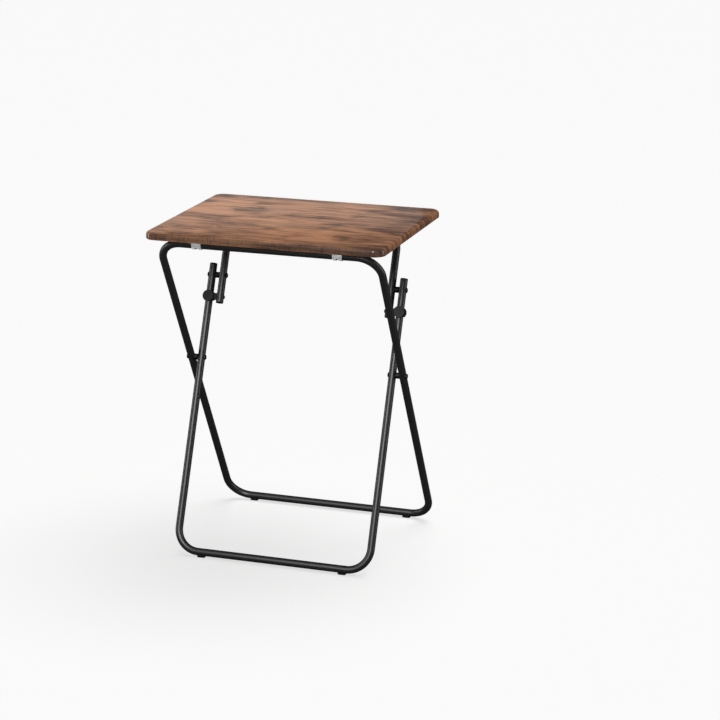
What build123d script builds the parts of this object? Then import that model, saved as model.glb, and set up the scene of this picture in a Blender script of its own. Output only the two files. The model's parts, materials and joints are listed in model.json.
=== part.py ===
from build123d import *
import os
from math import acos, cos, degrees, radians, sin, tan

# A folding tray table: a board on three bent steel tubes. The outer frame and the inner frame
# cross like scissors, and the short rear support joins the inner frame to the board.
# Millimetres. +X runs along the board, +Y to its rear edge, +Z up, and Z = 0 is the floor.

# Board
board_width = 480.0
board_depth = 380.0
board_thick = 15.0
table_height = 660.0
corner_radius = 22.0
top_edge_radius = 7.0
bottom_edge_radius = 2.5
film_thick = 0.4

# Tubes
tube_d = 15.0
tube_wall = 1.0
bend_radius = 45.0
side_margin = 18.0        # board side to the outer frame's leg axis
outer_gap = 6.5           # outer frame's legs to the inner frame's legs
inner_gap = 8.0           # inner frame's legs to the rear support's arms
seam_gap = 0.4
sleeve_length = 60.0
sleeve_wall = 1.2

# Linkage: the two hinge bars lie under the board, and the arms are as long as flat folding needs
front_margin = 35.0       # board front edge to the outer frame's hinge bar
rear_margin = 82.0        # rear support's hinge bar to the board's rear edge
bar_drop = 10.5           # hinge bar axes below the board
arm_length = 123.0        # rear support's hinge bar to the arm pivot
fold_overrun = 45.0       # cross pivot beyond the rear hinge bar when folded flat
leg_overhang = 20.4       # inner frame's legs above the arm pivot
lock_drop = 44.0          # lock clip's centre below the arm pivot
lock_end_room = 1.0       # lock rivet to the plug in the arm's end

# Saddle clips and their screws
clip_width = 19.0
clip_length = 58.0
clip_thick = 1.2
clip_neck_radius = 2.6    # middle of the strip, where it turns out into an ear
clip_corner = 3.0
clip_slot_width = 6.0
clip_slot_angle = 124.0   # slot over the crown of the band
clip_hole_pitch = 40.0
front_clip_inset = 80.5   # outer frame's leg axis to the front clips
rear_clip_inset = 68.5    # rear support's arm axis to the rear clips
screw_d = 3.5
screw_length = 11.0
screw_head_d = 8.0
screw_head_height = 2.4
recess_width = 1.0
recess_span = 4.4
recess_depth = 1.4

# Rivets and spacers
rivet_d = 6.0
rivet_head_d = 10.5
rivet_head_height = 2.4
lock_rivet_d = 4.0
lock_rivet_head_d = 8.0
lock_rivet_grip = 5.0
spacer_d = 12.0
seat_depth = 0.6

# Lock clips
lock_wall = 2.0
lock_jaw_depth = 6.0
lock_bridge_depth = 10.0
lock_bridge_height = 13.0
lock_knob_d = 23.0        # round face of the jaw, seen from the front

# Plugs and feet
plug_thick = 3.0
plug_edge = 1.8
plug_stem = 7.0
foot_length = 17.0
foot_width = 12.0
foot_sole = 2.5           # sole below the tube
foot_hug = 3.0            # foot's rim above the tube's lowest line
foot_corner = 4.0
foot_edge = 0.8
peg_d = 5.0
peg_height = 3.0

# Clearances
fit_gap = 0.05            # pieces that are fixed together
running_gap = 0.08        # a rivet in what turns on it
face_gap = 0.3            # faces that turn past each other

# What follows from them
tube_r = tube_d / 2
bore_r = tube_r - tube_wall
outer_half = board_width / 2 - side_margin
inner_half = outer_half - tube_d - outer_gap
support_half = inner_half - tube_d - inner_gap
underside_z = table_height - board_thick
hinge_z = underside_z - bar_drop
floor_axis_z = tube_r + foot_sole

# The cross pivot is the third corner of a triangle on the two hinge bars. Folded flat, all
# pivots lie in one line; opened, the arm and the inner leg stand in one line.
hinge_spacing = board_depth - front_margin - rear_margin
outer_upper = hinge_spacing + fold_overrun
inner_upper = arm_length + fold_overrun
rear_side = arm_length + inner_upper
front_angle = acos(
    (hinge_spacing**2 + outer_upper**2 - rear_side**2) / (2 * hinge_spacing * outer_upper))
rear_angle = acos(
    (hinge_spacing**2 + rear_side**2 - outer_upper**2) / (2 * hinge_spacing * rear_side))
outer_down = Vector(0, cos(front_angle), -sin(front_angle))
inner_down = Vector(0, -cos(rear_angle), -sin(rear_angle))

# The origin is below the middle of the table's depth, which runs from the board's front edge
# to the back of the outer frame's floor bar
leg_run = (hinge_z - floor_axis_z) / tan(front_angle)
overall_depth = front_margin + leg_run + tube_r
board_front_y = -overall_depth / 2
board_centre_y = board_front_y + board_depth / 2
front_hinge = Vector(0, board_front_y + front_margin, hinge_z)
rear_hinge = front_hinge + Vector(0, hinge_spacing, 0)
cross_pivot = front_hinge + outer_down * outer_upper
arm_pivot = rear_hinge + inner_down * arm_length
lock_centre = arm_pivot + inner_down * lock_drop
leg_drop = cross_pivot.Z - floor_axis_z
rear_floor = cross_pivot + outer_down * (leg_drop / sin(front_angle))
front_floor = cross_pivot + inner_down * (leg_drop / sin(rear_angle))
inner_top = arm_pivot - inner_down * leg_overhang
arm_end = lock_centre + inner_down * (lock_rivet_d / 2 + lock_end_room + plug_stem)

front_clip_x = outer_half - front_clip_inset
rear_clip_x = support_half - rear_clip_inset
rear_foot_x = outer_half - bend_radius - foot_length / 2
front_foot_x = inner_half - bend_radius - foot_length / 2


def at(x, place):
    """The point at x beside a place in the table's middle plane."""
    return Vector(x, place.Y, place.Z)


def x_rod(x0, x1, place, radius):
    """A round bar along X from x0 to x1."""
    return Pos(at((x0 + x1) / 2, place)) * Rot(0, 90, 0) * Cylinder(radius, abs(x1 - x0))


def leg_rod(x, place, direction, radius, length):
    """A round bar along a leg, with its middle at a place."""
    return Plane(origin=at(x, place), z_dir=direction) * Cylinder(radius, length)


def both_sides(make):
    """The right-hand piece, and its mirror image on the left."""
    right = make()
    return {"right": right, "left": mirror(right, about=Plane.YZ)}


def bent_tube(points):
    """A tube swept along straight runs joined by bends."""
    path = FilletPolyline(*points, radius=bend_radius)
    ring = Circle(tube_r) - Circle(bore_r)
    return sweep(Plane(origin=path @ 0, z_dir=path % 0) * ring, path=path)


def x_hole(half, place, diameter):
    """A hole through one leg's two walls, on both legs."""
    through = x_rod(half - tube_d, half + tube_d, place, diameter / 2 + fit_gap)
    return through + mirror(through, about=Plane.YZ)


def head_seat(face_x, outward, place, head_d, gap):
    """The flat pressed into both legs under a rivet's head."""
    seat = x_rod(face_x - outward * seat_depth, face_x + outward * tube_r, place, head_d / 2 + gap)
    return seat + mirror(seat, about=Plane.YZ)


def rivet(head_x, tail_x, place, shank_d, head_d):
    """A domed head, standing out from head_x, on a shank that ends at tail_x."""
    outward = 1 if head_x > tail_x else -1
    top_x = head_x + outward * rivet_head_height
    head = x_rod(head_x, top_x, place, head_d / 2)
    rim = head.edges().filter_by(GeomType.CIRCLE).sort_by(Axis.X)[-1 if outward > 0 else 0]
    return fillet(rim, rivet_head_height * 0.85) + x_rod(head_x, tail_x, place, shank_d / 2)


def board_blank(inset):
    """The rounded board, drawn in by an inset on every side."""
    size_x = board_width - 2 * inset
    size_y = board_depth - 2 * inset
    middle = Pos(0, board_centre_y, underside_z + board_thick / 2)
    blank = middle * Box(size_x, size_y, board_thick - 2 * inset)
    blank = fillet(blank.edges().filter_by(Axis.Z), corner_radius - inset)
    blank = fillet(blank.faces().sort_by(Axis.Z)[-1].edges(), top_edge_radius - inset)
    return fillet(blank.faces().sort_by(Axis.Z)[0].edges(), bottom_edge_radius - inset)


def underside_blank():
    """The flat sheet that backs the board, inside its rounded lower edge."""
    plan = RectangleRounded(
        board_width - 2 * bottom_edge_radius,
        board_depth - 2 * bottom_edge_radius,
        corner_radius - bottom_edge_radius)
    return Pos(0, board_centre_y, underside_z) * extrude(plan, film_thick)


def screw_places(clip_x, hinge):
    """Where one pair of clips has its screws, on the board's underside."""
    shift = clip_hole_pitch / 2
    return [Vector(x, hinge.Y + dy, underside_z) for x in (-clip_x, clip_x) for dy in (-shift, shift)]


def screw(place):
    """A pan-head screw with a crossed recess, its point up in the board."""
    top = place.Z - clip_thick
    head = Pos(place.X, place.Y, top - screw_head_height / 2) * Cylinder(
        screw_head_d / 2, screw_head_height)
    head = fillet(head.edges().filter_by(GeomType.CIRCLE).sort_by(Axis.Z)[0], screw_head_height * 0.7)
    point = Pos(place.X, place.Y, top + screw_length / 2) * Cylinder(screw_d / 2, screw_length)
    point = chamfer(point.edges().filter_by(GeomType.CIRCLE).sort_by(Axis.Z)[-1], screw_d * 0.35)
    recess_z = top - screw_head_height + recess_depth / 2
    recess = Pos(place.X, place.Y, recess_z) * (
        Box(recess_span, recess_width, recess_depth) + Box(recess_width, recess_span, recess_depth))
    return head - recess + point


def pilot_holes():
    """The holes that all the screws cut in the board."""
    holes = []
    for clip_x, hinge in ((front_clip_x, front_hinge), (rear_clip_x, rear_hinge)):
        for place in screw_places(clip_x, hinge):
            hole = Cylinder(screw_d / 2 + fit_gap, 2 * (screw_length - clip_thick))
            holes.append(Pos(place) * hole)
    return holes


def board_pieces():
    """Core, wrapped film and underside sheet."""
    holes = pilot_holes()
    core = board_blank(film_thick)
    sheet = underside_blank()
    film = board_blank(0) - core - sheet
    return {"tabletop_core": core - holes, "tabletop_film": film, "underside_sheet": sheet - holes}


def saddle_clip(x, hinge):
    """A sheet strip round a hinge bar, with an ear on each side screwed under the board."""
    band_r = tube_r + face_gap + clip_thick / 2
    ear_y = -clip_thick / 2
    neck_y = ear_y - clip_neck_radius
    neck_x = ((band_r + clip_neck_radius) ** 2 - (neck_y + bar_drop) ** 2) ** 0.5
    wrap = degrees(acos(neck_x / (band_r + clip_neck_radius)))
    band = CenterArc((0, -bar_drop), band_r, 180 - wrap, 180 + 2 * wrap)
    neck = CenterArc((neck_x, neck_y), clip_neck_radius, 90, 90 + wrap)
    ear = Line((neck_x, ear_y), (clip_length / 2, ear_y))
    strip = trace([band, neck, ear, mirror(neck, Plane.YZ), mirror(ear, Plane.YZ)], clip_thick)
    profile = Plane(origin=(x, hinge.Y, underside_z), x_dir=(0, 1, 0), z_dir=(1, 0, 0)) * strip
    clip = extrude(profile, clip_width / 2, both=True)
    ends = clip.edges().filter_by(Axis.Z)
    clip = fillet(ends, clip_corner)
    slot_r = band_r + clip_thick
    half_angle = radians(clip_slot_angle / 2)
    slot_width_y = 2 * slot_r * sin(half_angle)
    slot_top = hinge.Z - slot_r * cos(half_angle)
    slot = Pos(x, hinge.Y, slot_top - tube_r / 2) * Box(clip_slot_width, slot_width_y, tube_r)
    clip -= slot
    for dy in (-clip_hole_pitch / 2, clip_hole_pitch / 2):
        clip -= Pos(x, hinge.Y + dy, underside_z) * Cylinder(screw_d / 2 + face_gap, 4 * clip_thick)
    return clip


def foot_peg(x, place, radius):
    """The peg that locates a foot, up through the tube's lower wall."""
    foot_top = place.Z - tube_r - foot_sole / 2
    height = foot_sole / 2 + peg_height
    return Pos(x, place.Y, foot_top + height / 2) * Cylinder(radius, height)


def foot(x, place):
    """A plastic button foot with a flat sole, saddled to a floor bar's lower side."""
    height = foot_sole + foot_hug
    body = Pos(x, place.Y, height / 2) * Box(foot_length, foot_width, height)
    body = fillet(body.edges().filter_by(Axis.Z), foot_corner)
    body = chamfer(body.faces().sort_by(Axis.Z)[0].edges(), foot_edge)
    body -= x_rod(x - foot_length, x + foot_length, place, tube_r + fit_gap)
    return body + foot_peg(x, place, peg_d / 2)


def plug(x, place, outward):
    """A domed plastic plug in an open tube end."""
    head = Pos(0, 0, plug_thick / 2) * Cylinder(tube_r, plug_thick)
    head = fillet(head.edges().filter_by(GeomType.CIRCLE).sort_by(Axis.Z)[-1], plug_edge)
    stem = Pos(0, 0, -plug_stem / 2) * Cylinder(bore_r - fit_gap, plug_stem)
    return Plane(origin=at(x, place), z_dir=outward) * (head + stem)


def outer_frame_tube():
    """A closed loop whose two ends butt in the middle of the hinge bar."""
    corners = [
        at(seam_gap / 2, front_hinge),
        at(outer_half, front_hinge),
        at(outer_half, rear_floor),
        at(-outer_half, rear_floor),
        at(-outer_half, front_hinge),
        at(-seam_gap / 2, front_hinge)]
    tube = bent_tube(corners)
    tube -= x_hole(outer_half, cross_pivot, rivet_d)
    tube -= head_seat(outer_half + tube_r, 1, cross_pivot, rivet_head_d, fit_gap)
    for x in (-rear_foot_x, rear_foot_x):
        tube -= foot_peg(x, rear_floor, peg_d / 2 + fit_gap)
    return tube


def seam_sleeve():
    """The short tube inside the hinge bar that joins the loop's ends."""
    outside = x_rod(-sleeve_length / 2, sleeve_length / 2, front_hinge, bore_r - fit_gap)
    inside = x_rod(-sleeve_length, sleeve_length, front_hinge, bore_r - fit_gap - sleeve_wall)
    return outside - inside


def inner_frame_tube():
    """A U with its bar on the floor and its legs' open ends above the arm pivots."""
    corners = [
        at(inner_half, inner_top),
        at(inner_half, front_floor),
        at(-inner_half, front_floor),
        at(-inner_half, inner_top)]
    tube = bent_tube(corners)
    for place in (cross_pivot, arm_pivot):
        tube -= x_hole(inner_half, place, rivet_d)
    tube -= head_seat(inner_half - tube_r, -1, cross_pivot, rivet_head_d, fit_gap)
    tube -= head_seat(inner_half + tube_r, 1, arm_pivot, rivet_head_d, fit_gap)
    for x in (-front_foot_x, front_foot_x):
        tube -= foot_peg(x, front_floor, peg_d / 2 + fit_gap)
    return tube


def rear_support_tube():
    """A small U with its bar under the board and its arms hanging inside the inner frame."""
    corners = [
        at(support_half, arm_end),
        at(support_half, rear_hinge),
        at(-support_half, rear_hinge),
        at(-support_half, arm_end)]
    tube = bent_tube(corners)
    running_hole_d = rivet_d + 2 * (running_gap - fit_gap)
    tube -= x_hole(support_half, arm_pivot, running_hole_d)
    tube -= x_hole(support_half, lock_centre, lock_rivet_d)
    tube -= head_seat(support_half - tube_r, -1, arm_pivot, rivet_head_d, face_gap)
    tube -= head_seat(support_half - tube_r, -1, lock_centre, lock_rivet_head_d, fit_gap)
    return tube


def cross_rivet():
    """The outer part of the cross pivot, fixed in the outer frame."""
    head_x = outer_half + tube_r - seat_depth
    return rivet(head_x, inner_half + tube_r + face_gap, cross_pivot, rivet_d, rivet_head_d)


def cross_rivet_tail():
    """The inner part of the cross pivot, fixed in the inner frame."""
    head_x = inner_half - tube_r + seat_depth
    return rivet(head_x, inner_half + tube_r - fit_gap, cross_pivot, rivet_d, rivet_head_d)


def arm_rivet():
    """The arm pivot, fixed in the inner frame, with a second head inside the arm."""
    head_x = inner_half + tube_r - seat_depth
    tail_x = support_half - tube_r + seat_depth - face_gap
    inner_head = rivet(tail_x, head_x, arm_pivot, rivet_d, rivet_head_d)
    return inner_head + rivet(head_x, tail_x, arm_pivot, rivet_d, rivet_head_d)


def spacer(flat_x, tube_x, place, direction, bore_gap):
    """A round spacer, flat at one end and hollowed at the other to sit on a tube."""
    body = x_rod(flat_x, tube_x, place, spacer_d / 2)
    body -= leg_rod(tube_x, place, direction, tube_r + fit_gap, 4 * spacer_d)
    middle = (flat_x + tube_x) / 2
    return body - x_rod(middle - spacer_d, middle + spacer_d, place, rivet_d / 2 + bore_gap)


def cross_spacer():
    """The spacer between the crossing legs, seated on the outer frame."""
    flat_x = inner_half + tube_r + face_gap
    return spacer(flat_x, outer_half, cross_pivot, outer_down, fit_gap)


def arm_spacer():
    """The spacer between an inner leg and an arm, seated on the arm."""
    flat_x = inner_half - tube_r - face_gap
    return spacer(flat_x, support_half, arm_pivot, inner_down, running_gap)


def lock_jaw_profile():
    """The jaw round an inner leg, open to the rear, cut square to the leg."""
    inside_r = tube_r + face_gap
    front_r = inside_r + lock_wall
    depth = front_r + lock_jaw_depth
    jaw = Pos(0, (lock_jaw_depth - front_r) / 2) * Rectangle(lock_knob_d, depth)
    return jaw - Circle(inside_r) - Pos(0, front_r) * Rectangle(2 * inside_r, 2 * front_r)


def lock_clip():
    """A plastic jaw on an arm, closed in front and open behind, that holds the inner leg."""
    across = Plane(
        origin=(0, lock_centre.Y, lock_centre.Z), x_dir=(1, 0, 0), z_dir=-inner_down)
    jaw = extrude(across * Pos(inner_half, 0) * lock_jaw_profile(), lock_knob_d / 2, both=True)
    knob_plane = Plane(origin=at(inner_half, lock_centre), z_dir=across.y_dir)
    jaw &= knob_plane * Cylinder(lock_knob_d / 2, 4 * tube_d)
    bridge_length = inner_half - support_half
    bridge = Pos(support_half + bridge_length / 2, 0) * Rectangle(bridge_length, lock_bridge_depth)
    bridge -= Pos(inner_half, 0) * Circle(tube_r + face_gap)
    bridge -= Pos(support_half, 0) * Circle(tube_r + fit_gap)
    clip = jaw + extrude(across * bridge, lock_bridge_height / 2, both=True)
    hole_end = support_half + tube_r + lock_rivet_grip
    return clip - x_rod(support_half, hole_end, lock_centre, lock_rivet_d / 2 + fit_gap)


def lock_rivet():
    """The rivet that fixes a lock clip to its arm."""
    head_x = support_half - tube_r + seat_depth
    tail_x = support_half + tube_r + lock_rivet_grip
    return rivet(head_x, tail_x, lock_centre, lock_rivet_d, lock_rivet_head_d)


def paired_pieces():
    """Every piece that has one copy on each side of the table."""
    makers = {
        "front_{}_saddle": lambda: saddle_clip(front_clip_x, front_hinge),
        "rear_{}_saddle": lambda: saddle_clip(rear_clip_x, rear_hinge),
        "rear_{}_foot": lambda: foot(rear_foot_x, rear_floor),
        "front_{}_foot": lambda: foot(front_foot_x, front_floor),
        "inner_leg_{}_plug": lambda: plug(inner_half, inner_top, -inner_down),
        "arm_{}_plug": lambda: plug(support_half, arm_end, inner_down),
        "cross_{}_rivet": cross_rivet,
        "cross_{}_rivet_tail": cross_rivet_tail,
        "cross_{}_spacer": cross_spacer,
        "arm_{}_rivet": arm_rivet,
        "arm_{}_spacer": arm_spacer,
        "lock_{}_clip": lock_clip,
        "lock_{}_rivet": lock_rivet}
    pieces = {}
    for name, make in makers.items():
        for side, piece in both_sides(make).items():
            pieces[name.format(side)] = piece
    return pieces


def all_pieces():
    """Every node of the table by name."""
    pieces = board_pieces()
    pieces["front_saddle_screws"] = Compound([screw(p) for p in screw_places(front_clip_x, front_hinge)])
    pieces["rear_saddle_screws"] = Compound([screw(p) for p in screw_places(rear_clip_x, rear_hinge)])
    pieces["outer_frame_tube"] = outer_frame_tube()
    pieces["outer_frame_sleeve"] = seam_sleeve()
    pieces["inner_frame_tube"] = inner_frame_tube()
    pieces["rear_support_tube"] = rear_support_tube()
    pieces.update(paired_pieces())
    return pieces


os.makedirs("parts", exist_ok=True)
for node, piece in all_pieces().items():
    export_step(piece, f"parts/{node}.step")
print("fold angles", round(degrees(front_angle), 4), round(degrees(rear_angle), 4))
for label, place in (
        ("front hinge", front_hinge),
        ("rear hinge", rear_hinge),
        ("arm pivot", arm_pivot),
        ("cross pivot", cross_pivot)):
    print(label, round(place.Y, 4), round(place.Z, 4))
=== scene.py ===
"""A folding tray table: a wood-grain board on three black bent tubes."""

import json
from collections import namedtuple
from math import radians, sqrt

import bmesh
import bpy
from mathutils import Matrix, Vector


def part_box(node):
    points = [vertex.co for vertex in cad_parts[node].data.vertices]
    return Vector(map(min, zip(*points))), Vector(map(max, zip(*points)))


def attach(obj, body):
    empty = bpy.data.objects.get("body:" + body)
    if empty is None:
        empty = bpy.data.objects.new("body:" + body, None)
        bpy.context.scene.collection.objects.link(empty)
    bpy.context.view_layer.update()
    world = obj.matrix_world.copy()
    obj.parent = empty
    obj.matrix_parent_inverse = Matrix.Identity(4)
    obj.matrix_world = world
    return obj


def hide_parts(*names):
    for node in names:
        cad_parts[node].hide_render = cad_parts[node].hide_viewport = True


bl_info = {
    "name": "Folding Tray Table",
    "version": (1, 0, 0),
    "blender": (4, 5, 0),
    "location": "View3D > Sidebar > Tray Table",
    "description": "Builds the tubes, board and finishes of a folding tray table",
    "category": "Object",
}

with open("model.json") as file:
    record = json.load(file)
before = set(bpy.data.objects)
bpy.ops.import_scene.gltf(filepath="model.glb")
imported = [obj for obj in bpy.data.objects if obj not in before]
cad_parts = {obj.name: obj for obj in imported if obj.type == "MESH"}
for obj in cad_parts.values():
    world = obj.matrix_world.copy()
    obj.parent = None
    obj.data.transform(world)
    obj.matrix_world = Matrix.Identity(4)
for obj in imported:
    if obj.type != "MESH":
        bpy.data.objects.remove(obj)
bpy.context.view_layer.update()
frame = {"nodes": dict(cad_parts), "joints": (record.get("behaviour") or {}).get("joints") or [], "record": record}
pivots = {joint["name"]: Vector(joint["pos_m"]) for joint in frame["joints"]}

Z_AXIS = Vector((0, 0, 1))
ONE_PLACE = 1e-6             # points nearer than this, in metres, are one
CREASE_ANGLE = radians(40)   # edges sharper than this stay sharp in the shading

CORNER_SEGMENTS = 12
TOP_SEGMENTS = 8
BOTTOM_SEGMENTS = 4
RECESS_PLAY = 0.00002        # the film's lip stands this far inside the underside sheet's edge

# Distances in from the board's edge, in metres, where each starts and where it is full.
PRINT_WRAP = (0.010, 0.003)   # the print turning down over the front and back edges
RIM_WEAR = (0.009, 0.002)     # the worn rim at the left and right ends

SMUDGE_BROWN = (0.052, 0.034, 0.027)
KNOT_BROWN = (0.030, 0.018, 0.014)
WORN_ORANGE = (0.36, 0.165, 0.075)
DULL_DARK_BROWN = (0.075, 0.050, 0.039)
WORN_POWDER = (0.003, 0.003, 0.0032)
DULL_ZINC = (0.46, 0.48, 0.50)
ZINC_SPECK = (0.16, 0.16, 0.17)
SCUFFED_PLASTIC = (0.014, 0.0135, 0.013)
RIVET_BLACK = (0.004, 0.004, 0.0045)
RUBBED_RIVET = (0.02, 0.0195, 0.019)
FIBRE_DARK = (0.26, 0.17, 0.095)
FIBRE_LIGHT = (0.50, 0.36, 0.22)

# A stretched noise: cycles per metre along X, Y and Z, then the noise's own settings.
Layer = namedtuple(
    "Layer", "scale detail roughness distortion shift", defaults=(0.0, (0.0, 0.0, 0.0)))
SWAY = Layer((3.0, 7.0, 1.0), 2.0, 0.5)
FINE_LINES = Layer((26.0, 760.0, 4.0), 4.0, 0.70)
LINES = Layer((6.0, 170.0, 2.0), 5.0, 0.62, 0.3)
BANDS = Layer((3.4, 19.0, 1.0), 3.0, 0.55, 0.5, shift=(1.7, 4.2, 0.0))
SMUDGES = Layer((11.0, 36.0, 1.0), 4.0, 0.62, 0.4, shift=(3.1, 0.7, 0.0))
PATCHES = Layer((4.5, 9.0, 1.0), 3.0, 0.6, shift=(0.4, 7.9, 0.0))
CRACKS = Layer((34.0, 60.0, 1.0), 3.0, 0.6, 1.6, shift=(8.8, 5.1, 0.0))
TICKS = Layer((260.0, 260.0, 22.0), 3.0, 0.6)
ROLLING = Layer((260.0, 2600.0, 900.0), 2.0, 0.5)
SCUFFS = Layer((70.0, 200.0, 120.0), 4.0, 0.7)
FIBRES = Layer((500.0, 900.0, 2600.0), 4.0, 0.7)

# How much each layer counts in the grain's tone, and the tones that are all dark and all light.
SMUDGE_SHARE, BAND_SHARE, LINE_SHARE, FINE_SHARE = 0.30, 0.20, 0.31, 0.19
GRAIN_RANGE = (0.398, 0.572)
SWAY_REACH = 0.035            # how far the grain's lines wander sideways

# One use of the wood print: where it is cut from the pattern, how worn its rim is, its base
# roughness, its lacquer and how much of it is mixed towards a dull dark brown.
Print = namedtuple("Print", "shift wear roughness gloss fade")
TOP_PRINT = Print(shift=(2.7, 1.31, 0.0), wear=0.35, roughness=0.42, gloss=0.4, fade=0.0)
UNDER_PRINT = Print(shift=(5.1, 3.4, 0.0), wear=0.0, roughness=0.46, gloss=0.1, fade=0.55)

# Soft lights: where each hangs and points, its size in metres, its watts, whether it lights
# surfaces, and whether it is seen mirrored in them.
Softbox = namedtuple("Softbox", "name place target width height power lights mirrored")
SOFTBOXES = (
    Softbox("light_above", (-0.1, 0.3, 2.7), (0.0, 0.0, 0.5), 2.2, 0.8, 44.0, True, False),
    Softbox("light_left", (-2.6, -0.5, 1.0), (0.0, 0.0, 0.35), 0.5, 2.4, 36.0, True, True),
    Softbox("light_right", (2.6, 0.4, 1.0), (0.0, 0.0, 0.35), 0.4, 2.4, 30.0, True, True),
    Softbox("light_front", (0.10, -3.1, 2.35), (0.0, 0.0, 0.35), 0.40, 1.8, 230.0, False, True),
    Softbox("light_back", (-1.5, 3.2, 1.2), (0.0, 0.0, 0.6), 1.6, 0.8, 2.2, True, True))
SUN_SPREAD = radians(50)
SUN_TURN = (radians(-14), radians(10), 0)
FLOOR_REACH = 30.0            # from the middle of the floor to each side


class TraySizes(bpy.types.PropertyGroup):
    """Sizes of the pieces that are modelled here."""

    tube_diameter: bpy.props.FloatProperty(
        name="Tube diameter", description="Outside of every bent tube",
        default=0.015, unit="LENGTH")
    tube_wall: bpy.props.FloatProperty(
        name="Tube wall", description="Thickness of the tubes' steel",
        default=0.001, unit="LENGTH")
    bend_radius: bpy.props.FloatProperty(
        name="Bend radius", description="Tube axis at every corner of a frame",
        default=0.045, unit="LENGTH")
    seam_gap: bpy.props.FloatProperty(
        name="Seam gap", description="Gap between the outer loop's two ends",
        default=0.0004, unit="LENGTH")
    corner_radius: bpy.props.FloatProperty(
        name="Corner radius", description="Board's corners seen from above",
        default=0.022, unit="LENGTH")
    top_radius: bpy.props.FloatProperty(
        name="Top edge radius", description="Round along the board's upper edge",
        default=0.007, unit="LENGTH")
    bottom_radius: bpy.props.FloatProperty(
        name="Lower edge radius", description="Round along the board's lower edge",
        default=0.0025, unit="LENGTH")
    ring_segments: bpy.props.IntProperty(
        name="Ring segments", description="Sides round a tube", default=48, min=12)
    bend_steps: bpy.props.IntProperty(
        name="Bend steps", description="Rings along one bend", default=24, min=4)


class TrayColours(bpy.types.PropertyGroup):
    """Colours of the finishes."""

    wood_light: bpy.props.FloatVectorProperty(
        name="Light wood", description="Worn orange-brown of the grain",
        default=(0.445, 0.210, 0.106), subtype="COLOR")
    wood_dark: bpy.props.FloatVectorProperty(
        name="Dark wood", description="Dark brown of the grain's lines",
        default=(0.066, 0.031, 0.020), subtype="COLOR")
    wood_grey: bpy.props.FloatVectorProperty(
        name="Grey wood", description="Weathered grey-brown patches",
        default=(0.150, 0.078, 0.048), subtype="COLOR")
    powder: bpy.props.FloatVectorProperty(
        name="Powder coat", description="Black of the mixed coat, which no tube wears yet",
        default=(0.0006, 0.0006, 0.0007), subtype="COLOR")
    zinc: bpy.props.FloatVectorProperty(
        name="Zinc", description="Bright plate of the clips and screws",
        default=(0.78, 0.79, 0.80), subtype="COLOR")
    plastic: bpy.props.FloatVectorProperty(
        name="Plastic", description="Black of feet, plugs and lock clips",
        default=(0.0010, 0.0010, 0.0011), subtype="COLOR")
    floor: bpy.props.FloatVectorProperty(
        name="Floor", description="Pale floor", default=(0.86, 0.86, 0.86), subtype="COLOR")


class TrayView(bpy.types.PropertyGroup):
    """Camera and studio light."""

    camera_place: bpy.props.FloatVectorProperty(
        name="Camera place", description="Where the camera stands",
        default=(1.5257, -4.1586, 1.6550), subtype="TRANSLATION", unit="LENGTH")
    camera_heading: bpy.props.FloatProperty(
        name="Heading", description="Turn of the camera to the left of straight ahead",
        default=radians(18.55), subtype="ANGLE")
    camera_pitch: bpy.props.FloatProperty(
        name="Pitch", description="Tilt of the camera below the horizon",
        default=radians(16.12), subtype="ANGLE")
    camera_lens: bpy.props.FloatProperty(
        name="Lens", description="Focal length in millimetres on a 36 mm sensor", default=116.5)
    sky: bpy.props.FloatProperty(
        name="Sky", description="Strength of the even light from all round", default=0.025)
    sun: bpy.props.FloatProperty(
        name="Even light", description="Strength of the broad light from above", default=1.0)
    floor_glow: bpy.props.FloatProperty(
        name="Floor glow", description="Light that the pale floor adds by itself", default=0.68)


class Value:
    """A socket's value in one material, with arithmetic that adds Math nodes."""

    def __init__(self, finish, socket):
        self.finish = finish
        self.socket = socket

    def maths(self, operation, *values):
        inputs = dict(enumerate(values))
        return self.finish.node("ShaderNodeMath", {"operation": operation}, inputs)

    def __add__(self, other):
        return self.maths("ADD", self, other)

    def __radd__(self, other):
        return self.maths("ADD", other, self)

    def __sub__(self, other):
        return self.maths("SUBTRACT", self, other)

    def __rsub__(self, other):
        return self.maths("SUBTRACT", other, self)

    def __mul__(self, other):
        return self.maths("MULTIPLY", self, other)

    def __rmul__(self, other):
        return self.maths("MULTIPLY", other, self)

    def __truediv__(self, other):
        return self.maths("DIVIDE", self, other)

    def __abs__(self):
        return self.maths("ABSOLUTE", self)

    def sign(self):
        return self.maths("SIGN", self)

    def larger(self, other):
        return self.maths("MAXIMUM", self, other)

    def step(self, low, high):
        """0 below low, 1 above high, and a smooth rise between; falls if low is the higher."""
        settings = {"interpolation_type": "SMOOTHSTEP", "data_type": "FLOAT"}
        if low < high:
            ends = {"From Min": low, "From Max": high, "To Min": 0.0, "To Max": 1.0}
        else:
            ends = {"From Min": high, "From Max": low, "To Min": 1.0, "To Max": 0.0}
        return self.finish.node("ShaderNodeMapRange", settings, {"Value": self, **ends})


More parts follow.
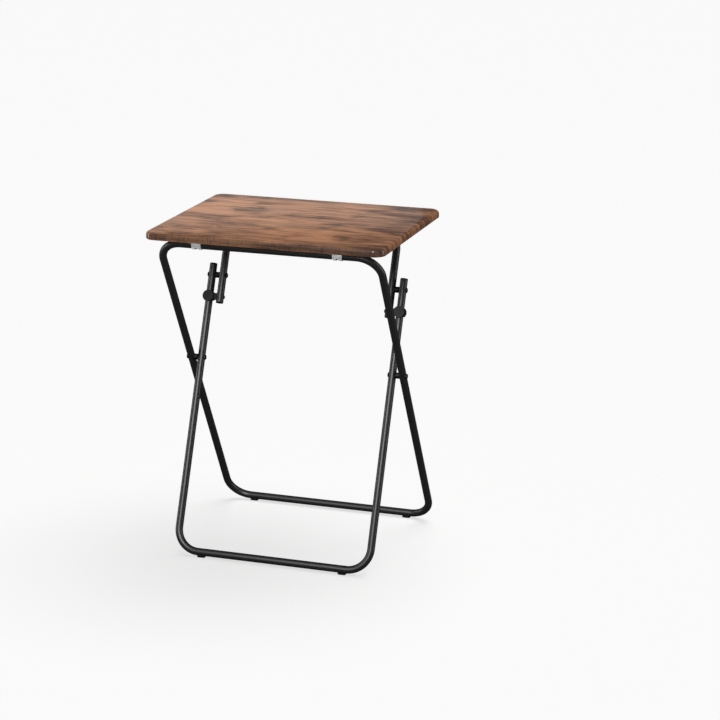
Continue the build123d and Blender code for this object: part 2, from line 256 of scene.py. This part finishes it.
class Finish:
    """One material, built node by node round a Principled shader."""

    def __init__(self, name):
        self.material = bpy.data.materials.new(name)
        self.material.use_nodes = True
        self.tree = self.material.node_tree
        self.shader = self.tree.nodes["Principled BSDF"]

    def node(self, kind, settings, inputs, output=0):
        """Adds a node, sets it up, links or sets its inputs, and returns one output."""
        made = self.tree.nodes.new(kind)
        for name, value in settings.items():
            setattr(made, name, value)
        for name, value in inputs.items():
            self.feed(made.inputs[name], value)
        return Value(self, made.outputs[output])

    def feed(self, socket, value):
        if isinstance(value, Value):
            self.tree.links.new(value.socket, socket)
        else:
            socket.default_value = value

    def set(self, **values):
        """Sets or links the Principled shader's own sockets, named with underscores."""
        for name, value in values.items():
            if isinstance(value, tuple) and len(value) == 3:
                value = (*value, 1.0)
            self.feed(self.shader.inputs[name.replace("_", " ")], value)

    def place(self):
        return self.node("ShaderNodeTexCoord", {}, {}, "Object")

    def split(self, vector):
        made = self.tree.nodes.new("ShaderNodeSeparateXYZ")
        self.feed(made.inputs[0], vector)
        return [Value(self, socket) for socket in made.outputs]

    def join(self, x, y, z):
        return self.node("ShaderNodeCombineXYZ", {}, {"X": x, "Y": y, "Z": z})

    def mapped(self, vector, scale, shift):
        inputs = {"Vector": vector, "Scale": scale, "Location": shift}
        return self.node("ShaderNodeMapping", {}, inputs)

    def pattern(self, vector, layer):
        """A layer's noise, from 0 to 1 about 0.5."""
        stretched = self.mapped(vector, layer.scale, layer.shift)
        return self.noise(stretched, 1.0, layer.detail, layer.roughness, layer.distortion)

    def noise(self, vector, scale, detail, roughness, distortion=0.0):
        """Noise from 0 to 1 about 0.5."""
        inputs = {
            "Vector": vector, "Scale": scale, "Detail": detail,
            "Roughness": roughness, "Distortion": distortion}
        return self.node("ShaderNodeTexNoise", {}, inputs)

    def blend(self, amount, first, second):
        """Mixes two colours."""
        made = self.tree.nodes.new("ShaderNodeMix")
        made.data_type = "RGBA"
        self.feed(made.inputs[0], amount)
        for socket, value in zip(made.inputs[6:8], (first, second)):
            self.feed(socket, (*value, 1.0) if isinstance(value, tuple) else value)
        return Value(self, made.outputs[2])

    def bump(self, height, distance, strength):
        """Height from 0 to 1 over a distance in metres, as a normal."""
        self.set(Normal=self.node(
            "ShaderNodeBump", {}, {"Height": height, "Distance": distance, "Strength": strength}))


def wood_finish(name, cut, colours):
    """Printed wood-grain film, grain along X, wrapped down over the board's edges, with painted shade towards the
    right end and the front and back rims.
    """
    low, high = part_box("tabletop_film")
    half_x, half_y = (high[0] - low[0]) / 2, (high[1] - low[1]) / 2
    middle_y = (high[1] + low[1]) / 2
    light, dark = tuple(colours.wood_light), tuple(colours.wood_dark)
    finish = Finish(name)
    x, y, z = finish.split(finish.place())
    across = y - middle_y
    down = high[2] - z
    over_edge = abs(across).step(*(half_y - inset for inset in PRINT_WRAP))
    unrolled = across + across.sign() * down * over_edge
    film = finish.mapped(finish.join(x, unrolled, down * 0.2), (1.0, 1.0, 1.0), cut.shift)
    sway = finish.pattern(film, SWAY) - 0.5
    along, side, depth = finish.split(film)
    wavy = finish.join(along, side + sway * SWAY_REACH, depth)
    fine = finish.pattern(wavy, FINE_LINES)
    line = finish.pattern(wavy, LINES)
    band = finish.pattern(wavy, BANDS)
    smudge = finish.pattern(film, SMUDGES)
    patch = finish.pattern(film, PATCHES)
    crack = finish.pattern(film, CRACKS)
    # Painted shade: the print is made darker towards the right end and towards the front and back rims.
    shade = ((x / half_x).step(0.2, 1.2) + abs(across / half_y).step(0.6, 1.15) * 0.7) * 0.05
    broad = smudge * SMUDGE_SHARE + band * BAND_SHARE
    tone = broad + line * LINE_SHARE + fine * FINE_SHARE - shade
    grain = tone.step(*GRAIN_RANGE)
    colour = finish.blend(grain, dark, light)
    colour = finish.blend(patch.step(0.48, 0.68) * 0.55, colour, tuple(colours.wood_grey))
    colour = finish.blend(smudge.step(0.43, 0.30) * 0.80, colour, SMUDGE_BROWN)
    # The painted shade is also laid over the colour as dark brown.
    colour = finish.blend(shade * 7.0, colour, dark)
    knots = patch.step(0.40, 0.30) * abs(crack - 0.5).step(0.035, 0.0)
    colour = finish.blend(knots * 0.85, colour, KNOT_BROWN)
    rim = abs(x).step(*(half_x - inset for inset in RIM_WEAR)).larger(over_edge)
    colour = finish.blend(rim * cut.wear * line.step(0.25, 0.75), colour, WORN_ORANGE)
    ticks = finish.pattern(finish.join(x, across, z), TICKS)
    colour = finish.blend(rim * ticks.step(0.52, 0.64) * 0.55, colour, dark)
    # The underside print is mixed towards a dull dark brown; the top print is not.
    colour = finish.blend(cut.fade, colour, DULL_DARK_BROWN)
    finish.set(
        Base_Color=colour,
        Roughness=cut.roughness + (1 - grain) * 0.14 + (smudge - 0.5) * 0.12,
        IOR=1.30,
        Specular_IOR_Level=0.3,
        Coat_Weight=cut.gloss * (0.7 + grain * 0.3),
        Coat_Roughness=0.10)
    finish.bump(grain * 0.7 + fine * 0.3, distance=0.00012, strength=0.6)
    return finish.material


def powder_finish(colours):
    """Gloss black powder coat, with a faint orange peel and rubbed, duller patches.

    No piece wears it yet: the frame already holds a plain material of this name, so this one
    is renamed as it is made, and the tubes look up the plain one.
    """
    finish = Finish("black_powder_coat")
    place = finish.place()
    peel = finish.noise(place, scale=620.0, detail=2.0, roughness=0.5)
    rub = finish.noise(place, scale=34.0, detail=4.0, roughness=0.62)
    fleck = finish.noise(place, scale=2400.0, detail=1.0, roughness=0.5)
    finish.set(
        Base_Color=finish.blend(rub.step(0.58, 0.78) * 0.5, tuple(colours.powder), WORN_POWDER),
        Roughness=0.07 + rub.step(0.46, 0.76) * 0.08 + fleck * 0.02,
        IOR=1.50)
    finish.bump(peel, distance=0.00001, strength=0.2)
    return finish.material


def zinc_finish(name, colours, brightness, roughness):
    """Bright zinc plate with rolling lines, dull clouds and a few darker specks."""
    finish = Finish(name)
    place = finish.place()
    rolled = finish.pattern(place, ROLLING)
    cloud = finish.noise(place, scale=150.0, detail=4.0, roughness=0.6)
    speck = finish.noise(place, scale=900.0, detail=2.0, roughness=0.5)
    bright = tuple(channel * brightness for channel in colours.zinc)
    colour = finish.blend(cloud.step(0.40, 0.70) * 0.45, bright, DULL_ZINC)
    colour = finish.blend(speck.step(0.66, 0.74) * 0.6, colour, ZINC_SPECK)
    finish.set(
        Base_Color=colour, Metallic=0.55 - cloud * 0.3,
        Roughness=roughness + cloud * 0.16 + rolled * 0.06)
    finish.bump(rolled * 0.5 + cloud * 0.5, distance=0.00008, strength=0.45)
    return finish.material


def plastic_finish(colours):
    """Moulded black plastic with a fine spark-eroded texture and scuffs."""
    finish = Finish("black_plastic")
    place = finish.place()
    texture = finish.noise(place, scale=1800.0, detail=2.0, roughness=0.6)
    scuff = finish.pattern(place, SCUFFS)
    black = tuple(colours.plastic)
    finish.set(
        Base_Color=finish.blend(scuff.step(0.60, 0.76) * 0.5, black, SCUFFED_PLASTIC),
        Roughness=0.46 + scuff * 0.16 + texture * 0.06,
        IOR=1.30)
    finish.bump(texture, distance=0.00005, strength=0.4)
    return finish.material


def rivet_finish():
    """Black rivet heads, hammered a little and rubbed bright at their crowns."""
    finish = Finish("black_rivet")
    place = finish.place()
    dent = finish.noise(place, scale=420.0, detail=3.0, roughness=0.6)
    rub = finish.noise(place, scale=1300.0, detail=3.0, roughness=0.6)
    finish.set(
        Base_Color=finish.blend(rub.step(0.60, 0.74) * 0.4, RIVET_BLACK, RUBBED_RIVET),
        Roughness=0.22 + dent * 0.16,
        IOR=1.40)
    finish.bump(dent, distance=0.00008, strength=0.4)
    return finish.material


def core_finish():
    """Sawn fibreboard: pale brown, with short dark and light fibres."""
    finish = Finish("fibreboard")
    place = finish.place()
    fibre = finish.pattern(place, FIBRES)
    finish.set(
        Base_Color=finish.blend(fibre, FIBRE_DARK, FIBRE_LIGHT),
        Roughness=0.78 + fibre * 0.12)
    finish.bump(fibre, distance=0.0002, strength=0.5)
    return finish.material


def paint(node, material):
    """Gives a CAD node one finish."""
    slots = frame["nodes"][node].data.materials
    slots.clear()
    slots.append(material)


def new_piece(name, mesh, material, body, node):
    """Turns a bmesh into a smooth piece that rides on a body in a CAD node's stead."""
    data = bpy.data.meshes.new(name)
    mesh.to_mesh(data)
    mesh.free()
    data.shade_smooth()
    data.set_sharp_from_angle(angle=CREASE_ANGLE)
    data.materials.append(material)
    piece = bpy.data.objects.new(name, data)
    bpy.context.scene.collection.objects.link(piece)
    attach(piece, body)
    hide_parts(node)


def ring_matrix(place, direction):
    """Places a ring at a point, square to a direction."""
    turn = Z_AXIS.rotation_difference(direction)
    return Matrix.Translation(place) @ turn.to_matrix().to_4x4()


def swept_tube(points, sizes):
    """A hollow tube along straight runs joined by round bends, its wall closed at both ends."""
    mesh = bmesh.new()
    direction = (points[1] - points[0]).normalized()
    rings = []
    for radius in (sizes.tube_diameter / 2, sizes.tube_diameter / 2 - sizes.tube_wall):
        made = bmesh.ops.create_circle(
            mesh, segments=sizes.ring_segments, radius=radius,
            matrix=ring_matrix(points[0], direction))
        verts = made["verts"]
        rings.append(list({edge for vert in verts for edge in vert.link_edges}))
    edges = rings[0] + rings[1]
    first = list(edges)
    here = points[0]
    for corner, after in zip(points[1:-1], points[2:]):
        onward = (after - corner).normalized()
        cosine = direction.dot(onward)
        reach = sizes.bend_radius * sqrt(1 - cosine ** 2) / (1 + cosine)
        edges = extruded(mesh, edges, corner - direction * reach - here)
        axis = direction.cross(onward).normalized()
        centre = corner - direction * reach + axis.cross(direction) * sizes.bend_radius
        spun = bmesh.ops.spin(
            mesh, geom=edges, cent=centre, axis=axis,
            angle=direction.angle(onward), steps=sizes.bend_steps, use_merge=False)
        edges = [item for item in spun["geom_last"] if isinstance(item, bmesh.types.BMEdge)]
        here = corner + onward * reach
        direction = onward
    edges = extruded(mesh, edges, points[-1] - here)
    for ends in (first, edges):
        bmesh.ops.bridge_loops(mesh, edges=ends)
    bmesh.ops.remove_doubles(mesh, verts=mesh.verts, dist=ONE_PLACE)
    bmesh.ops.recalc_face_normals(mesh, faces=mesh.faces)
    return mesh


def extruded(mesh, edges, step):
    """Carries open rings one step along and returns the new rings' edges."""
    made = bmesh.ops.extrude_edge_only(mesh, edges=edges)["geom"]
    verts = [item for item in made if isinstance(item, bmesh.types.BMVert)]
    bmesh.ops.translate(mesh, verts=verts, vec=step)
    ring = set(verts)
    return [
        item for item in made
        if isinstance(item, bmesh.types.BMEdge) and all(vert in ring for vert in item.verts)]


def at(x, place):
    """The point at x beside a place in the table's middle plane."""
    return Vector((x, place.y, place.z))


def floor_bar(node, at_front, radius):
    """Axis of a frame's floor bar."""
    low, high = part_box(node)
    return Vector((0, low[1] + radius if at_front else high[1] - radius, low[2] + radius))


def leg_end(node, at_top, start, toward, radius):
    """Where a leg's axis ends, from the height that its square-cut end reaches."""
    low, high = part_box(node)
    direction = (toward - start).normalized()
    rise = abs(direction.y) * radius
    end_z = high[2] - rise if at_top else low[2] + rise
    return start + direction * ((end_z - start.z) / direction.z)


def half_span(node, radius):
    """X of a frame's leg axis."""
    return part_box(node)[1][0] - radius


class TRAY_OT_outer_frame(bpy.types.Operator):
    """Bends the outer frame's closed loop"""

    bl_idname = "tray.outer_frame"
    bl_label = "Outer Frame"

    def execute(self, context):
        sizes = context.scene.tray_sizes
        radius = sizes.tube_diameter / 2
        half = half_span("outer_frame_tube", radius)
        top = pivots["tabletop_fold"]
        foot = floor_bar("outer_frame_tube", False, radius)
        points = [
            at(sizes.seam_gap / 2, top), at(half, top), at(half, foot),
            at(-half, foot), at(-half, top), at(-sizes.seam_gap / 2, top)]
        material = bpy.data.materials["black_powder_coat"]
        new_piece(
            "outer_frame_loop", swept_tube(points, sizes), material,
            "outer_frame", "outer_frame_tube")
        return {"FINISHED"}


class TRAY_OT_inner_frame(bpy.types.Operator):
    """Bends the inner frame's long U"""

    bl_idname = "tray.inner_frame"
    bl_label = "Inner Frame"

    def execute(self, context):
        sizes = context.scene.tray_sizes
        radius = sizes.tube_diameter / 2
        half = half_span("inner_frame_tube", radius)
        foot = floor_bar("inner_frame_tube", True, radius)
        top = leg_end("inner_frame_tube", True, foot, pivots["leg_fold"], radius)
        points = [at(half, top), at(half, foot), at(-half, foot), at(-half, top)]
        material = bpy.data.materials["black_powder_coat"]
        new_piece(
            "inner_frame_u", swept_tube(points, sizes), material,
            "inner_frame", "inner_frame_tube")
        return {"FINISHED"}


class TRAY_OT_rear_support(bpy.types.Operator):
    """Bends the rear support's short U"""

    bl_idname = "tray.rear_support"
    bl_label = "Rear Support"

    def execute(self, context):
        sizes = context.scene.tray_sizes
        radius = sizes.tube_diameter / 2
        half = half_span("arm_right_plug", radius)
        top = pivots["support_fold"]
        end = leg_end("rear_support_tube", False, top, pivots["leg_fold"], radius)
        points = [at(half, end), at(half, top), at(-half, top), at(-half, end)]
        material = bpy.data.materials["black_powder_coat"]
        new_piece(
            "rear_support_u", swept_tube(points, sizes), material,
            "rear_support", "rear_support_tube")
        return {"FINISHED"}


class TRAY_OT_tabletop(bpy.types.Operator):
    """Shapes the rounded board's wood-grain skin and finishes what is under it"""

    bl_idname = "tray.tabletop"
    bl_label = "Tabletop"

    def execute(self, context):
        sizes = context.scene.tray_sizes
        colours = context.scene.tray_colours
        film = wood_finish("wood_grain_film", TOP_PRINT, colours)
        new_piece(
            "tabletop_skin", board_skin(sizes), film,
            "tabletop", "tabletop_film")
        paint("underside_sheet", wood_finish("underside_film", UNDER_PRINT, colours))
        paint("tabletop_core", core_finish())
        return {"FINISHED"}


def board_skin(sizes):
    """The film's rounded outside, with a shallow recess below for the underside sheet."""
    low, high = (Vector(corner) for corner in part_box("tabletop_film"))
    sheet_low, sheet_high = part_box("underside_sheet")
    mesh = bmesh.new()
    place = Matrix.Translation((low + high) / 2) @ Matrix.Diagonal((*(high - low), 1))
    bmesh.ops.create_cube(mesh, size=1.0, matrix=place)
    round_edges(mesh, sizes.corner_radius, CORNER_SEGMENTS, upright)
    round_edges(mesh, sizes.top_radius, TOP_SEGMENTS, lambda edge: level(edge, high.z))
    round_edges(mesh, sizes.bottom_radius, BOTTOM_SEGMENTS, lambda edge: level(edge, low.z))
    bmesh.ops.recalc_face_normals(mesh, faces=mesh.faces)
    below = [face for face in mesh.faces if level(face, low.z)]
    bmesh.ops.inset_region(
        mesh, faces=below, thickness=RECESS_PLAY,
        depth=sheet_low[2] - sheet_high[2], use_even_offset=True)
    return mesh


def upright(edge):
    """Whether an edge's ends are at different heights."""
    return not level(edge, edge.verts[0].co.z)


def level(element, height):
    """Whether an edge or face lies at one height."""
    return all(abs(vert.co.z - height) < ONE_PLACE for vert in element.verts)


def round_edges(mesh, radius, segments, wanted):
    """Rounds the edges that a test picks."""
    edges = [edge for edge in mesh.edges if wanted(edge)]
    bmesh.ops.bevel(
        mesh, geom=edges, offset=radius, offset_type="OFFSET", affect="EDGES",
        segments=segments, profile=0.5, material=-1)


class TRAY_OT_hardware(bpy.types.Operator):
    """Finishes clips, screws, rivets, spacers, plugs, lock clips and feet"""

    bl_idname = "tray.hardware"
    bl_label = "Hardware"

    def execute(self, context):
        colours = context.scene.tray_colours
        finishes = {
            "zinc_plate": zinc_finish("zinc_plate", colours, brightness=1.22, roughness=0.22),
            "plain_steel": zinc_finish("plain_steel", colours, brightness=0.7, roughness=0.34),
            "black_plastic": plastic_finish(colours),
            "black_rivet": rivet_finish(),
            "black_powder_coat": bpy.data.materials["black_powder_coat"]}
        for part in frame["record"]["subparts"]:
            if part["material_slot"] in finishes:
                paint(part["node"], finishes[part["material_slot"]])
        return {"FINISHED"}


class TRAY_OT_coating(bpy.types.Operator):
    """Mixes a black powder coat, which no tube wears yet"""

    bl_idname = "tray.coating"
    bl_label = "Powder Coat"

    def execute(self, context):
        powder_finish(context.scene.tray_colours)
        return {"FINISHED"}


class TRAY_OT_stage(bpy.types.Operator):
    """Sets the pale floor, the soft lights and the camera"""

    bl_idname = "tray.stage"
    bl_label = "Stage"

    def execute(self, context):
        view = context.scene.tray_view
        context.scene.view_settings.view_transform = "Standard"
        floor = pale_floor(context.scene.tray_colours, view)
        unlit = bpy.data.collections.new("unlit_by_softboxes")
        unlit.objects.link(floor)
        unlit.collection_objects[0].light_linking.link_state = "EXCLUDE"
        for box in SOFTBOXES:
            softbox(box).light_linking.receiver_collection = unlit
        even_light(view)
        sky(view)
        camera(view)
        return {"FINISHED"}


def pale_floor(colours, view):
    """A plain floor that the softboxes leave alone and that the tubes don't mirror."""
    finish = Finish("pale_floor")
    finish.set(
        Base_Color=tuple(colours.floor), Roughness=0.75, Specular_IOR_Level=0.2,
        Emission_Color=(1.0, 1.0, 1.0), Emission_Strength=view.floor_glow)
    finish.material.cycles.emission_sampling = "NONE"
    mesh = bmesh.new()
    bmesh.ops.create_grid(mesh, x_segments=1, y_segments=1, size=FLOOR_REACH)
    data = bpy.data.meshes.new("floor")
    mesh.to_mesh(data)
    mesh.free()
    data.materials.append(finish.material)
    floor = bpy.data.objects.new("floor", data)
    bpy.context.scene.collection.objects.link(floor)
    floor.visible_glossy = False
    return floor


def softbox(box):
    """Hangs one rectangular light and aims it at its target."""
    lamp = bpy.data.lights.new(box.name, "AREA")
    lamp.shape = "RECTANGLE"
    lamp.size = box.width
    lamp.size_y = box.height
    lamp.energy = box.power
    light = bpy.data.objects.new(box.name, lamp)
    light.location = box.place
    toward = Vector(box.target) - Vector(box.place)
    light.rotation_euler = toward.to_track_quat("-Z", "Y").to_euler()
    light.visible_diffuse = box.lights
    light.visible_glossy = box.mirrored
    bpy.context.scene.collection.objects.link(light)
    return light


def even_light(view):
    """A very broad sun from above, which gives the soft shadow on the floor."""
    sun = bpy.data.lights.new("light_even", "SUN")
    sun.energy = view.sun
    sun.angle = SUN_SPREAD
    even = bpy.data.objects.new("light_even", sun)
    even.rotation_euler = SUN_TURN
    even.visible_glossy = False
    bpy.context.scene.collection.objects.link(even)


def sky(view):
    """Even white light from all round."""
    world = bpy.data.worlds.new("sky")
    world.use_nodes = True
    background = world.node_tree.nodes["Background"]
    background.inputs["Color"].default_value = (1.0, 1.0, 1.0, 1.0)
    background.inputs["Strength"].default_value = view.sky
    bpy.context.scene.world = world


def camera(view):
    """Sets up the main view."""
    lens = bpy.data.cameras.new("camera")
    lens.lens = view.camera_lens
    lens.sensor_width = 36.0
    lens.clip_end = 100.0
    holder = bpy.data.objects.new("camera", lens)
    holder.location = view.camera_place
    holder.rotation_euler = (radians(90) - view.camera_pitch, 0, view.camera_heading)
    bpy.context.scene.collection.objects.link(holder)
    bpy.context.scene.camera = holder


class TRAY_PT_panel(bpy.types.Panel):
    """Lists the steps in their order"""

    bl_idname = "TRAY_PT_panel"
    bl_label = "Tray Table"
    bl_space_type = "VIEW_3D"
    bl_region_type = "UI"
    bl_category = "Tray Table"

    def draw(self, context):
        for operator in OPERATORS:
            self.layout.operator(operator.bl_idname)
        for group in ("tray_sizes", "tray_colours", "tray_view"):
            settings = getattr(context.scene, group)
            for name in settings.__annotations__:
                self.layout.prop(settings, name)


GROUPS = {"tray_sizes": TraySizes, "tray_colours": TrayColours, "tray_view": TrayView}
OPERATORS = (
    TRAY_OT_coating, TRAY_OT_outer_frame, TRAY_OT_inner_frame, TRAY_OT_rear_support,
    TRAY_OT_tabletop, TRAY_OT_hardware, TRAY_OT_stage)


def register():
    for group in GROUPS.values():
        bpy.utils.register_class(group)
    for name, group in GROUPS.items():
        setattr(bpy.types.Scene, name, bpy.props.PointerProperty(type=group))
    for operator in OPERATORS:
        bpy.utils.register_class(operator)
    bpy.utils.register_class(TRAY_PT_panel)


def unregister():
    bpy.utils.unregister_class(TRAY_PT_panel)
    for operator in reversed(OPERATORS):
        bpy.utils.unregister_class(operator)
    for name in GROUPS:
        delattr(bpy.types.Scene, name)
    for group in GROUPS.values():
        bpy.utils.unregister_class(group)


def main():
    register()
    bpy.ops.tray.coating()
    bpy.ops.tray.outer_frame()
    bpy.ops.tray.inner_frame()
    bpy.ops.tray.rear_support()
    bpy.ops.tray.tabletop()
    bpy.ops.tray.hardware()
    bpy.ops.tray.stage()


if __name__ == "__main__":
    main()
